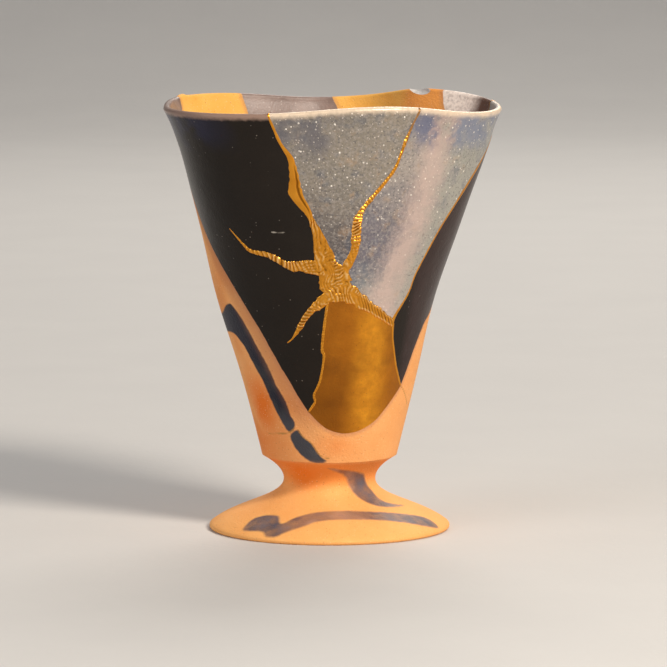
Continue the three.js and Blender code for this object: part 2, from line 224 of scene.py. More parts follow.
# The middle line of a painted highlight streak down the right blue piece
PAINTED_HIGHLIGHT_LINE = [
    (48.5, 0.994), (49.6, 0.831), (46.7, 0.746), (45.8, 0.688), (38.1, 0.561), (31.7, 0.464),
]

# How finely the pieces are divided
FRONT_COLUMNS = 225
BACK_COLUMNS = 95
OUTER_WALL_ROWS = 150
INNER_WALL_ROWS = 66
LIP_ROWS = 10
FOOT_ROWS = 38
NECK_ROWS = 18
FLAT_ROWS = 12
# The grid of the gold seams: its spacing at a radius, its range of azimuth and its lowest share
SEAM_GRID = 0.13
SEAM_GRID_RADIUS = 36
SEAM_AZIMUTHS = (-50, 104)
LOWEST_SEAM_SHARE = 0.13


# Curves

def bell(offset, spread):
    """1 in the middle of a bell curve, and nearly 0 at twice its spread"""
    return np.exp(-((offset / spread) ** 2))


def ramp(value, start, end):
    """0 up to the start, 1 from the end on, and even between them"""
    return np.clip((value - start) / (end - start), 0, 1)


# Form of the goblet

def wave_sum(waves, azimuth):
    return sum(swing * np.cos(count * (azimuth - math.radians(peak))) for count, swing, peak in waves)


def height_at(share):
    return SHOULDER_HEIGHT + share * WALL_RISE


def share_at(height):
    return (height - SHOULDER_HEIGHT) / WALL_RISE


def wall_radius(share):
    push, spread = RIM_FLARE
    straight = SHOULDER_RADIUS - INSET + share * (RIM_RADIUS - SHOULDER_RADIUS)
    return straight + push * bell(share - 1, spread)


def thickness_at(share):
    """Distance of the wall's inside from its outside, which thins evenly towards the lip"""
    return WALL_THICKNESS + share * (LIP_THICKNESS - WALL_THICKNESS)


def growth_at(share):
    """How much of the waves there is at a height: none at the shoulder and all at the rim"""
    return np.maximum(share, 0) ** 2


def plan_push(azimuth, share):
    """How far the waves and leans move the wall out. Azimuths are in radians."""
    push = growth_at(share) * wave_sum(PLAN_WAVES, azimuth)
    for towards, reach, height, spread in LEANS:
        push = push + reach * bell(share - height, spread) * np.cos(azimuth - math.radians(towards))
    return push


def lobed(radius, azimuth, height):
    """The place of a point of the round form on the lobed and leaning bowl"""
    share = share_at(height)
    moved = radius + plan_push(azimuth, share) * np.minimum(radius / NECK_RADIUS, 1)
    lift = growth_at(share) * wave_sum(RIM_WAVES, azimuth)
    return np.stack([moved * np.sin(azimuth), -moved * np.cos(azimuth), height + lift], axis=-1)


def place_of(points):
    """Azimuth, level and reach of points: the level is the height before the rim's waves, and the
    reach is the distance outside the wall's outer face."""
    azimuth = np.arctan2(points[:, 0], -points[:, 1])
    rise = wave_sum(RIM_WAVES, azimuth)
    level = points[:, 2].copy()
    # Each pass corrects the level by the waves at the last one.
    for _ in range(8):
        level = points[:, 2] - growth_at(share_at(level)) * rise
    share = share_at(level)
    reach = np.hypot(points[:, 0], points[:, 1]) - wall_radius(share) - plan_push(azimuth, share)
    return azimuth, level, reach


def bezier(corners, steps):
    """Points of a Bezier curve, without its last point"""
    points = np.array(corners, float)
    t = np.arange(steps)[:, None] / steps
    degree = len(points) - 1
    return sum(
        math.comb(degree, i) * (1 - t) ** (degree - i) * t ** i * points[i] for i in range(degree + 1)
    )


def arc(middle, radius, start, end, steps):
    """Points of an arc between two angles in degrees, without its last point"""
    angle = np.radians(start + (end - start) * np.arange(steps) / steps)
    return np.array(middle) + radius * np.stack([np.cos(angle), np.sin(angle)], axis=1)


def outer_wall(shares):
    return np.stack([wall_radius(shares), height_at(shares)], axis=1)


def inner_wall(shares):
    return outer_wall(shares) - np.stack([thickness_at(shares), np.zeros_like(shares)], axis=1)


LIP_SHARE = share_at(RIM_HEIGHT - LIP_THICKNESS / 2)
ROUNDING_SHARE = share_at(FLOOR_HEIGHT + FLOOR_ROUNDING)


def lip(steps):
    """The rounded lip from the outside over the top to the inside, without its two ends, and the
    direction that each of its points faces"""
    angle = np.radians(np.linspace(0, 180, steps + 1)[1:-1])
    facing = np.stack([np.cos(angle), np.sin(angle)], axis=1)
    half_wall = thickness_at(LIP_SHARE) / 2
    middle = np.array([wall_radius(LIP_SHARE) - half_wall, height_at(LIP_SHARE)])
    return middle + facing * (half_wall, LIP_THICKNESS / 2), facing


def outer_profile():
    """(radius, height) from the foot's edge up to the lip"""
    edge_middle = (FOOT_RADIUS - INSET - FOOT_EDGE_RADIUS, FOOT_EDGE_RADIUS)
    edge_end = arc(edge_middle, FOOT_EDGE_RADIUS, FOOT_EDGE_TURN, FOOT_EDGE_TURN + 1, 1)[0]
    neck = (NECK_RADIUS, NECK_HEIGHT)

    def bend_point(bend):
        return NECK_RADIUS + bend[0] * (FOOT_RADIUS - NECK_RADIUS), bend[1] * NECK_HEIGHT

    shoulder = (float(wall_radius(0)), SHOULDER_HEIGHT)
    under_bowl = (NECK_RADIUS, (NECK_HEIGHT + SHOULDER_HEIGHT) / 2)
    return np.concatenate([
        arc(edge_middle, FOOT_EDGE_RADIUS, -90, FOOT_EDGE_TURN, 6),
        bezier([edge_end, bend_point(FOOT_BEND), bend_point(NECK_BEND), neck], FOOT_ROWS),
        bezier([neck, under_bowl, shoulder], NECK_ROWS),
        outer_wall(np.linspace(0, LIP_SHARE, OUTER_WALL_ROWS)),
    ])


def goblet_profile():
    """(radius, height) from the middle of the underside, round the outside, to the bowl's floor"""
    foot_flat = (FOOT_RADIUS - INSET - FOOT_EDGE_RADIUS, 0)
    inside = inner_wall(np.linspace(LIP_SHARE, ROUNDING_SHARE, INNER_WALL_ROWS))
    inner_foot = inside[-1]
    spacing, height = THROWING_RINGS
    rings = height * np.cos(2 * np.pi * inside[:, 1] / spacing)
    inside[:, 0] += rings * ramp(share_at(inside[:, 1]), 0.9, 0.65)
    floor = bezier(
        [inner_foot, (inner_foot[0] - FLOOR_TUCK, FLOOR_HEIGHT), (0, FLOOR_HEIGHT)], FLAT_ROWS,
    )
    return np.concatenate([
        bezier([(0, 0), foot_flat], FLAT_ROWS),
        outer_profile(),
        lip(LIP_ROWS)[0],
        inside[:-1],
        floor,
        [(0, FLOOR_HEIGHT)],
    ])


# Meshes

def mesh_object(name, points, faces):
    """An object from an array of points and a list of arrays of faces. A corner that a face has twice
    is dropped."""
    mesh = bpy.data.meshes.new(name)
    corners = [list(dict.fromkeys(face)) for group in faces for face in group.tolist()]
    mesh.from_pydata(points.tolist(), [], corners)
    mesh.update()
    piece = bpy.data.objects.new(name, mesh)
    bpy.context.scene.collection.objects.link(piece)
    return piece


def turned_goblet():
    profile = goblet_profile()
    rings = profile[1:-1]
    front = np.linspace(-95, 90, FRONT_COLUMNS, endpoint=False)
    back = np.linspace(90, 265, BACK_COLUMNS, endpoint=False)
    azimuth = np.radians(np.concatenate([front, back]))
    columns = len(azimuth)
    points = lobed(rings[:, 0, None], azimuth[None, :], rings[:, 1, None])
    middle, spread, height = RIM_BUMP
    bump = height * bell(np.degrees(azimuth) - 360 - middle, spread)
    points[:, :, 2] += bump * ramp(rings[:, 1, None], RIM_HEIGHT - 2.5, RIM_HEIGHT - 0.5)
    points = points.reshape(-1, 3)
    ends = np.array([[0, 0, profile[0, 1]], [0, 0, profile[-1, 1]]])
    row, column = np.meshgrid(np.arange(len(rings) - 1), np.arange(columns), indexing="ij")
    first = row * columns
    after = (column + 1) % columns
    quads = np.stack(
        [first + column, first + after, first + columns + after, first + columns + column], axis=-1,
    ).reshape(-1, 4)
    ring = np.arange(columns)
    turned = (ring + 1) % columns
    last = (len(rings) - 1) * columns
    under = len(rings) * columns
    underside = np.stack([turned, ring, np.full_like(ring, under)], axis=1)
    floor = np.stack([last + ring, last + turned, np.full_like(ring, under + 1)], axis=1)
    return mesh_object("goblet", np.concatenate([points, ends]), [quads, underside, floor])


def smoothed(line, closed=False, step=0.9):
    """A smooth curve through points of (azimuth, share, ...), with points about every step"""
    line = np.array(line, float)
    scale = np.array([math.radians(1) * MEAN_RADIUS, WALL_RISE])
    count = len(line)
    points = []

    def at(i):
        return line[i % count] if closed else line[min(max(i, 0), count - 1)]

    for i in range(count if closed else count - 1):
        a, b, c, d = at(i - 1), at(i), at(i + 1), at(i + 2)
        length = np.linalg.norm((c - b)[:2] * scale)
        steps = max(1, int(math.ceil(length / step)))
        for t in np.arange(steps) / steps:
            points.append(0.5 * (
                2 * b + (c - a) * t + (2 * a - 5 * b + 4 * c - d) * t ** 2
                + (3 * b - a - 3 * c + d) * t ** 3
            ))
    if not closed:
        points.append(line[-1])
    return np.array(points)


def closed_block(name, outline, fill):
    """A radial block through the wall over an outline of (azimuth, share) that runs anticlockwise as
    seen from outside, closed at both ends by the triangles that fill the outline"""
    count = len(outline)
    azimuth = np.radians(outline[:, 0])
    share = outline[:, 1]
    points = np.concatenate([
        lobed(wall_radius(share) + reach, azimuth, height_at(share)) for reach in CUT_REACHES
    ])
    outermost = count * (len(CUT_REACHES) - 1)
    caps = np.concatenate([fill + outermost, fill[:, ::-1]])
    ring, i = np.meshgrid(np.arange(len(CUT_REACHES) - 1) * count, np.arange(count), indexing="ij")
    after = (i + 1) % count
    sides = np.stack([ring + i, ring + after, ring + count + after, ring + count + i], axis=-1)
    return mesh_object(name, points, [caps, sides.reshape(-1, 4)])


def opening_block(name, outline):
    flat = np.stack([np.radians(outline[:, 0]) * RIM_RADIUS, height_at(outline[:, 1])], axis=1)
    fill = np.array(tessellate_polygon([[Vector((x, y, 0)) for x, y in flat]]))
    a, b, c = flat[fill[:, 0]], flat[fill[:, 1]], flat[fill[:, 2]]
    turn = (b - a)[:, 0] * (c - a)[:, 1] - (b - a)[:, 1] * (c - a)[:, 0]
    fill[turn < 0] = fill[turn < 0][:, ::-1]
    return closed_block(name, outline, fill)


def seam_outline(seam, margin):
    """The outline of a smoothed seam: up its right side and down its left side"""
    azimuth, share, width = seam.T
    per_degree = math.radians(1) * wall_radius(share)
    run = np.stack([np.gradient(azimuth) * per_degree, np.gradient(share) * WALL_RISE], axis=1)
    run /= np.linalg.norm(run, axis=1, keepdims=True)
    half = np.maximum(width / 2 + margin, 0.08)

    def side(sign):
        return np.stack([
            azimuth - sign * run[:, 1] * half / per_degree,
            share + sign * run[:, 0] * half / WALL_RISE,
        ], axis=1)

    return np.concatenate([side(-1), side(1)[::-1]])


def seam_block(name, seam, margin):
    outline = seam_outline(seam, margin)
    count = len(seam)
    i = np.arange(count - 1)
    left = 2 * count - 1 - i
    fill = np.concatenate([
        np.stack([i, i + 1, left - 1], axis=1), np.stack([i, left - 1, left], axis=1),
    ])
    return closed_block(name, outline, fill)


def combine(piece, other, operation):
    """A piece joined with another one, cut by it or kept only inside it"""
    modifier = piece.modifiers.new(operation, "BOOLEAN")
    modifier.operation = operation
    modifier.solver = "MANIFOLD"
    modifier.object = other
    result = piece.evaluated_get(bpy.context.evaluated_depsgraph_get())
    mesh = bpy.data.meshes.new_from_object(result)
    piece.modifiers.clear()
    piece.data = mesh
    return piece


def copy_of(piece, name):
    twin = bpy.data.objects.new(name, piece.data.copy())
    bpy.context.scene.collection.objects.link(twin)
    return twin


def joined(blocks):
    """All the blocks as one"""
    first = blocks[0]
    for other in blocks[1:]:
        combine(first, other, "UNION")
        bpy.data.objects.remove(other)
    return first


# Distances on the surface, which paint and relief are worked out from

def distance_inside(outline, across, up, across_scale):
    """How far points lie inside an outline, negative outside. The across coordinate is in degrees and
    its scale in millimetres per degree; up is in millimetres."""
    nearest = np.full(up.shape, np.inf)
    inside = np.zeros(up.shape, bool)
    for (a, b), (c, d) in zip(outline, np.roll(outline, -1, axis=0)):
        run = (c - a) * across_scale
        away = (across - a) * across_scale
        t = np.clip((away * run + (up - b) * (d - b)) / (run ** 2 + (d - b) ** 2 + 1e-12), 0, 1)
        nearest = np.minimum(nearest, np.hypot(away - t * run, up - b - t * (d - b)))
        if b != d:
            crossing = (up - b) / (d - b)
            inside ^= (crossing >= 0) & (crossing < 1) & (across < a + crossing * (c - a))
    return np.where(inside, nearest, -nearest)


def along_and_aside(line, across, up, across_scale):
    """For points near a line: how far along it they are and how far to its left"""
    nearest = np.full(up.shape, np.inf)
    along = np.zeros(up.shape)
    aside = np.zeros(up.shape)
    passed = 0.0
    for (a, b), (c, d) in zip(line[:-1], line[1:]):
        run = (c - a) * across_scale
        away = (across - a) * across_scale
        length = np.hypot(run, d - b) + 1e-9
        t = np.clip((away * run + (up - b) * (d - b)) / length ** 2, 0, 1)
        distance = np.hypot(away - t * run, up - b - t * (d - b))
        closer = distance < nearest
        nearest = np.where(closer, distance, nearest)
        along = np.where(closer, passed + t * length, along)
        aside = np.where(closer, (run * (up - b) - away * (d - b)) / length, aside)
        passed += float(np.mean(length))
    return nearest, along, aside


def value_noise(x, y, seed):
    """Smooth noise from 0 to 1 with a grain of one unit"""
    cells = np.random.default_rng(seed).random((97, 89))
    left, low = np.floor(x).astype(int), np.floor(y).astype(int)
    fx, fy = x - left, y - low
    fx, fy = fx * fx * (3 - 2 * fx), fy * fy * (3 - 2 * fy)

    def cell(i, j):
        return cells[(low + j) % 97, (left + i) % 89]

    lower = cell(0, 0) * (1 - fx) + cell(1, 0) * fx
    upper = cell(0, 1) * (1 - fx) + cell(1, 1) * fx
    return lower * (1 - fy) + upper * fy


def keep_value(piece, name, values):
    attribute = piece.data.attributes.new(name, "FLOAT", "POINT")
    attribute.data.foreach_set("value", np.asarray(values, np.float32))


def vertex_array(piece):
    points = np.empty(len(piece.data.vertices) * 3)
    piece.data.vertices.foreach_get("co", points)
    return points.reshape(-1, 3)


OUTER_PROFILE = outer_profile()
LENGTH_ALONG = np.concatenate([
    [0], np.cumsum(np.hypot(*np.diff(OUTER_PROFILE, axis=0).T)),
])


def length_at(level):
    """How far up the outside profile a level is, from the foot's edge"""
    beyond = np.maximum(level - OUTER_PROFILE[-1, 1], 0)
    return np.interp(level, OUTER_PROFILE[:, 1], LENGTH_ALONG) + beyond


def painted_distance(outlines, azimuth, level):
    """How far inside the nearest of some outlines of (azimuth, level) the points lie"""
    degrees = np.degrees(azimuth)
    radius = np.interp(level, OUTER_PROFILE[:, 1], OUTER_PROFILE[:, 0])
    scale = math.radians(1) * (radius + plan_push(azimuth, share_at(level)) * (level > SHOULDER_HEIGHT))
    up = length_at(level)
    deepest = np.full(level.shape, -np.inf)
    for outline in outlines:
        border = np.stack([outline[:, 0], length_at(outline[:, 1])], axis=1)
        # An outline round the back is also seen a full turn away.
        for turn in (0, 360, -360):
            if border[:, 0].min() + turn < 190 and border[:, 0].max() + turn > -190:
                deepest = np.maximum(deepest, distance_inside(border + (turn, 0), degrees, up, scale))
    return deepest


def with_levels(line):
    return np.array([(azimuth, height_at(share)) for azimuth, share in line])


def glaze_outlines():
    front = smoothed(GLAZE_LEFT_BORDER).tolist() + smoothed(PATCH_TONGUE).tolist()[1:-1]
    front += smoothed(GLAZE_RIGHT_BORDER).tolist() + [(121.0, 1.3), (-112.0, 1.3)]
    back = smoothed(BACK_GLAZE).tolist() + [(219.5, 1.3), (181.0, 1.3)]
    return [with_levels(front), with_levels(back)]


def stroke_outlines():
    upper = [with_levels(smoothed(stroke, closed=True)) for stroke in (UPPER_STROKE, LOWER_STROKE)]
    lower = [with_levels(smoothed([(a, share_at(z)) for a, z in stroke], closed=True))
             for stroke in (NECK_STROKE, FOOT_STROKE)]
    return upper + lower


def distance_to_lines(lines, azimuth, level):
    """How far the points lie from the nearest of some lines of (azimuth, share)"""
    radius = np.interp(level, OUTER_PROFILE[:, 1], OUTER_PROFILE[:, 0])
    nearest = np.full(level.shape, np.inf)
    for line in lines:
        levels = with_levels(smoothed(line))
        border = np.stack([levels[:, 0], length_at(levels[:, 1])], axis=1)
        distance, _, _ = along_and_aside(
            border, np.degrees(azimuth), length_at(level), math.radians(1) * radius,
        )
        nearest = np.minimum(nearest, distance)
    return nearest


def burnt_strength(degrees, share):
    """How deep the orange of the burnt spots is"""
    burnt = np.zeros(share.shape)
    for middle, height, across, up, strength in BURNT_SPOTS:
        away = np.hypot((degrees - middle) / across, (share - height) / up)
        burnt = np.maximum(burnt, strength * bell(away, 1))
    return burnt


def paint_body(body):
    """Gives the body the values that its material is painted by."""
    points = vertex_array(body)
    azimuth, level, reach = place_of(points)
    share = share_at(level)
    # The foot, the neck and the hollow above them have no inside of their own.
    solid = (level < FLOOR_HEIGHT) | ((level < SHOULDER_HEIGHT) & (reach > -3))
    reach = np.where(solid, 0, reach)
    outside = reach > -LIP_THICKNESS / 2
    keep_value(body, "glaze", painted_distance(glaze_outlines(), azimuth, level))
    strokes = painted_distance(stroke_outlines(), azimuth, level)
    keep_value(body, "stroke", np.where(outside, strokes, -FAR))
    keep_value(body, "share", share)
    keep_value(body, "reach", reach)
    for name, (start, end, softness) in PAINTED_RANGES.items():
        inside = np.minimum(np.degrees(azimuth) - start, end - np.degrees(azimuth))
        keep_value(body, name, ramp(inside, -softness / 2, softness / 2))
    for name, lines in (("crack", HAIRLINES), ("crescent", [CRESCENT])):
        keep_value(body, name, np.where(outside, distance_to_lines(lines, azimuth, level), FAR))
    keep_value(body, "burnt", burnt_strength(np.degrees(azimuth), share))
    # How far from the chip's middle the points lie, as a share of its half sizes
    in_chip = (points - chip_place()) @ np.array(Matrix.Rotation(CHIP_AZIMUTH, 3, "Z"))
    keep_value(body, "chip", np.linalg.norm(in_chip / CHIP_SIZE, axis=1))


def paint_shard(shard):
    """Gives a blue piece its values: the highlight streak is the distance from the painted highlight
    streak's middle.
    """
    azimuth, level, reach = place_of(vertex_array(shard))
    share = share_at(level)
    keep_value(shard, "share", share)
    keep_value(shard, "reach", reach)
    highlight_streak = np.array(PAINTED_HIGHLIGHT_LINE)[::-1]
    middle = np.interp(share, highlight_streak[:, 1], highlight_streak[:, 0])
    offset = (np.degrees(azimuth) - middle) * math.radians(1) * wall_radius(share)
    keep_value(shard, "highlight_streak", offset)
    keep_value(shard, "azimuth", np.degrees(azimuth))
    is_right = shard.name == "blue_shard_right"
    keep_value(shard, "right", np.full(len(share), float(is_right)))


def paint_patch(patch):
    """The gilded piece has a painted highlight along a line right of its middle."""
    azimuth, level, _ = place_of(vertex_array(patch))
    share = share_at(level)
    offset = (np.degrees(azimuth) - PATCH_HIGHLIGHT_AZIMUTH) * math.radians(1) * wall_radius(share)
    keep_value(patch, "highlight_streak", offset)
    keep_value(patch, "share", share)


# Pieces

def smooth_seams():
    """The seams as smooth lines, with widths that sway a little"""
    seams = {}
    for number, (name, seam) in enumerate(SEAMS.items()):
        line = smoothed(seam, step=0.7)
        sway = value_noise(np.arange(len(line)) * 0.6, np.zeros(len(line)), 10 + number)
        line[:, 2] *= 0.85 + 0.3 * sway
        if name == "left":
            # Narrower near the rim
            line[:, 2] -= 0.3 * ramp(line[:, 1], 0.86, 0.91)
        if name in ("left_branch", "lower_branch"):
            # A pointed tip
            line[:, 2] *= np.clip(0.4 + 0.06 * np.arange(len(line)), 0, 1)
        seams[name] = line
    return seams


def middle_line(seam):
    return seam[:, :2]


def chip_place():
    return lobed(wall_radius(1.0) - LIP_THICKNESS, CHIP_AZIMUTH, np.array(RIM_HEIGHT - CHIP_DROP))


def rim_chip():
    """The shape of a small flake broken off the rim at the back"""
    bpy.ops.mesh.primitive_ico_sphere_add(subdivisions=4, radius=1)
    chip = bpy.context.object
    chip.data.transform(Matrix.Diagonal((*CHIP_SIZE, 1)))
    chip.data.transform(Matrix.Translation(Vector(chip_place())) @ Matrix.Rotation(CHIP_AZIMUTH, 4, "Z"))
    return chip


def piece_outlines(seams):
    """Outlines of the blue pieces and of the gilded piece, along the middle lines of their seams"""
    left, middle, right = (middle_line(seams[name]) for name in ("left", "middle", "right"))
    patch_left, patch_right = (middle_line(seams[name]) for name in ("patch_left", "patch_right"))
    cross = middle_line(seams["cross"])[CROSS_END_POINTS:]
    return {
        "blue_shard_middle": np.concatenate([left, middle[::-1]]),
        "blue_shard_right": np.concatenate([middle, cross, right[1:]]),
        "gold_patch": np.concatenate([
            patch_left, smoothed(PATCH_TONGUE)[1:-1], patch_right[::-1],
            cross[:-CROSS_END_POINTS][::-1],
        ]),
    }


def cut_pieces(seams):
    """The body, the two blue pieces and the gilded piece, cut from one turned goblet"""
    chip = rim_chip()
    goblet = combine(turned_goblet(), chip, "DIFFERENCE")
    bpy.data.objects.remove(chip)
    cracks = joined([seam_block(name, seam, -GOLD_LAP) for name, seam in seams.items()])
    pieces = {}
    for name, outline in piece_outlines(seams).items():
        block = opening_block(name + "_block", outline)
        piece = combine(copy_of(goblet, name), block, "INTERSECT")
        pieces[name] = combine(piece, cracks, "DIFFERENCE")
        combine(goblet, block, "DIFFERENCE")
        bpy.data.objects.remove(block)
    pieces["goblet_body"] = combine(goblet, cracks, "DIFFERENCE")
    bpy.data.objects.remove(cracks)
    return pieces


# Gold seams

def folded(turns):
    """Rounded folds with narrow valleys between them, from -1 to 1"""
    return 2 * np.abs(np.sin(np.pi * turns)) - 1


def seam_folds(name, share, along, aside, width, sway):
    """Height of one seam's own folds, and how calm its surface is from 0 to 1"""
    along_spacing, aside_spacing, height = FOLDS[name]
    fold = height * folded(along / along_spacing + aside / aside_spacing + sway)
    fold = fold * ramp(width, 0.3, 1.6)
    calm = np.zeros(share.shape)
    if name == "left":
        # A smooth upper part with one long crease near its right side
        calm = ramp(share, 0.69, 0.73)
        crease = bell(aside / width - 0.22, 0.09) * ramp(share, 0.86, 0.8267) * ramp(width, 1.2, 2.2)
        fold = fold * (1 - calm) - 0.16 * calm * crease
    if name == "cross":
        # Thin raised edges
        fold = fold - 0.03 + 0.14 * bell(np.abs(aside) / width - 0.37, 0.09)
    return fold, calm


def seam_layout(seams, degrees, share, scale, sway):
    """How deep inside the seams the points lie, the height of the seams' own folds there, and how
    calm the gold is. The scale is in millimetres per degree."""
    up = share * WALL_RISE
    depth = np.full(up.shape, -FAR)
    folds = np.zeros(up.shape)
    calm = np.zeros(up.shape)
    for name, seam in seams.items():
        azimuths, shares, widths = seam.T
        near = (degrees > azimuths.min() - 6) & (degrees < azimuths.max() + 6)
        near &= (share > shares.min() - 0.05) & (share < shares.max() + 0.05)
        outline = seam_outline(seam, 0) * (1, WALL_RISE)
        inside = distance_inside(outline, degrees[near], up[near], scale[near])
        line = middle_line(seam) * (1, WALL_RISE)
        _, along, aside = along_and_aside(line, degrees[near], up[near], scale[near])
        width = np.interp(along, np.linspace(0, along.max(), len(seam)), widths)
        fold, still = seam_folds(name, share[near], along, aside, width, sway[near])
        calm[near] = np.maximum(calm[near], still)
        folds[near] = np.where(inside > depth[near], fold, folds[near])
        depth[near] = np.maximum(inside, depth[near])
    return depth, folds, calm


def drapery(across, up, sway):
    """Wrinkles of the wide gold where the seams meet: folds that change their direction, crumpled"""
    turned = ramp(value_noise(across / 2.6, up / 2.6, 12), 0.4, 0.65)
    folds = (1 - turned) * folded(across / 1.05 + up / 4 + 0.9 * sway)
    folds = folds + turned * folded(up / 0.95 - across / 3.5 + 0.7 * sway)
    crumple = 1 - 4 * np.abs(value_noise(across / 0.9, up / 0.9, 11) - 0.5)
    return 0.15 * (0.65 * folds + 0.35 * crumple)


def seam_relief(seams, azimuth, share):
    """How deep inside the seams the points lie, and the height of the gold there"""
    degrees = np.degrees(azimuth)
    scale = math.radians(1) * wall_radius(share)
    across = degrees * scale
    up = share * WALL_RISE
    sway = 2.6 * value_noise(across / 2.9, up / 2.9, 5) + 0.7 * value_noise(across / 1.2, up / 1.2, 6)
    depth, folds, calm = seam_layout(seams, degrees, share, scale, 0.45 * sway)
    torn = value_noise(across / 0.7, up / 0.7, 9) - 0.5
    depth = depth + 0.07 * torn * (1 - calm)

    azimuth_there, share_there, half_width, half_height = WIDE_GOLD
    aside = (degrees - azimuth_there) * scale / half_width
    away = np.hypot(aside, (share - share_there) * WALL_RISE / half_height)
    wide = ramp(away, 1.4167, 0.5833) * (1 - calm)
    broken = np.clip(2.2 * value_noise(across / 1.7, up / 2.4, 8) - 0.2, 0.45, 1)
    relief = folds * (0.7 + 0.4 * broken) * (1 - wide) + drapery(across, up, sway) * broken * wide
    relief = relief * ramp(depth, -0.075, 0.075)
    fine = value_noise(across / 0.4, up / 0.6, 7) - 0.5
    return depth, relief + 0.05 * fine * ramp(depth, 0, 0.4) * (1 - calm)


def seam_profile():
    """(radius, height) up the outer wall, over the lip and down the inner wall, the direction that
    each point faces, and how many of the points are outside"""
    rows = int((LIP_SHARE - LOWEST_SEAM_SHARE) * WALL_RISE / SEAM_GRID)
    shares = np.linspace(LOWEST_SEAM_SHARE, LIP_SHARE, rows)
    lip_points, lip_facing = lip(2 * LIP_ROWS)
    profile = np.concatenate([outer_wall(shares), lip_points, inner_wall(shares[::-1])])
    facing = np.concatenate([
        np.tile([1.0, 0.0], (rows, 1)), lip_facing, np.tile([-1.0, 0.0], (rows, 1)),
    ])
    return profile, facing, rows + LIP_ROWS


def covered_cells(depth):
    """The cells of the grid that gold covers. Where two of them touch only at a corner, their
    neighbours are covered too."""
    corners = depth > -GOLD_LAP + 0.01
    covered = corners[:-1, :-1] & corners[1:, :-1] & corners[:-1, 1:] & corners[1:, 1:]
    for _ in range(4):
        a, b = covered[:-1, :-1], covered[:-1, 1:]
        c, d = covered[1:, :-1], covered[1:, 1:]
        pinched = (a & d & ~b & ~c) | (b & c & ~a & ~d)
        for block in (a, b, c, d):
            block |= pinched
    return covered


def gold_faces(covered, index):
    """Faces of the covered cells, and faces through the wall that close the edges of the gold. A
    row's twin is the row opposite it on the other side of the wall."""
    twin = index[::-1]
    k, j = np.nonzero(covered)
    faces = [np.stack([index[k, j], index[k, j + 1], index[k + 1, j + 1], index[k + 1, j]], axis=1)]
    outer = np.pad(covered, 1)
    front = k < (len(index) - 1) // 2
    k, j = k[front], j[front]
    borders = [
        (outer[k + 1, j], (k, j), (k + 1, j)),
        (outer[k + 1, j + 2], (k + 1, j + 1), (k, j + 1)),
        (outer[k, j + 1], (k, j + 1), (k, j)),
        (outer[k + 2, j + 1], (k + 1, j), (k + 1, j + 1)),
    ]
    for neighbour, start, end in borders:
        bare = ~neighbour
        start = tuple(part[bare] for part in start)
        end = tuple(part[bare] for part in end)
        faces.append(np.stack([index[start], index[end], twin[end], twin[start]], axis=1))
    return faces


def gold_veins(seams):
    """The gold seams: a fine grid over the wall's outside, lip and inside, kept where the seams are"""
    profile, facing, outside_rows = seam_profile()
    columns = np.radians(np.arange(*SEAM_AZIMUTHS, math.degrees(SEAM_GRID / SEAM_GRID_RADIUS)))
    azimuth, share = np.meshgrid(columns, share_at(profile[:, 1]))
    depth, relief = seam_relief(seams, azimuth, share)
    relief[outside_rows:] = 0
    crown = np.where(depth > 0, SEAM_CROWN * (1 - np.exp(-depth / CROWN_EDGE)), EDGE_SLOPE * depth)
    height = np.minimum(crown + relief * (depth > 0), SEAM_PROUD)
    radius = profile[:, :1] + height * facing[:, :1]
    level = profile[:, 1:] + height * facing[:, 1:]
    points = lobed(radius, azimuth, level).reshape(-1, 3)

    faces = gold_faces(covered_cells(depth), np.arange(azimuth.size).reshape(azimuth.shape))
    used = np.unique(np.concatenate([group.ravel() for group in faces]))
    renumber = np.zeros(len(points), int)
    renumber[used] = np.arange(len(used))
    veins = mesh_object("gold_veins", points[used], [renumber[group] for group in faces])
    # The relief also sets the painted highlights on the fold ridges and the painted shade in their
    # hollows.
    keep_value(veins, "relief", relief.ravel()[used])
    worn = np.zeros(azimuth.shape, bool)
    for start, end in WORN_GOLD:
        worn |= (azimuth > math.radians(start)) & (azimuth < math.radians(end))
    keep_value(veins, "worn", (worn * ramp(share, 0.91, 0.95)).ravel()[used])
    return veins


# Materials

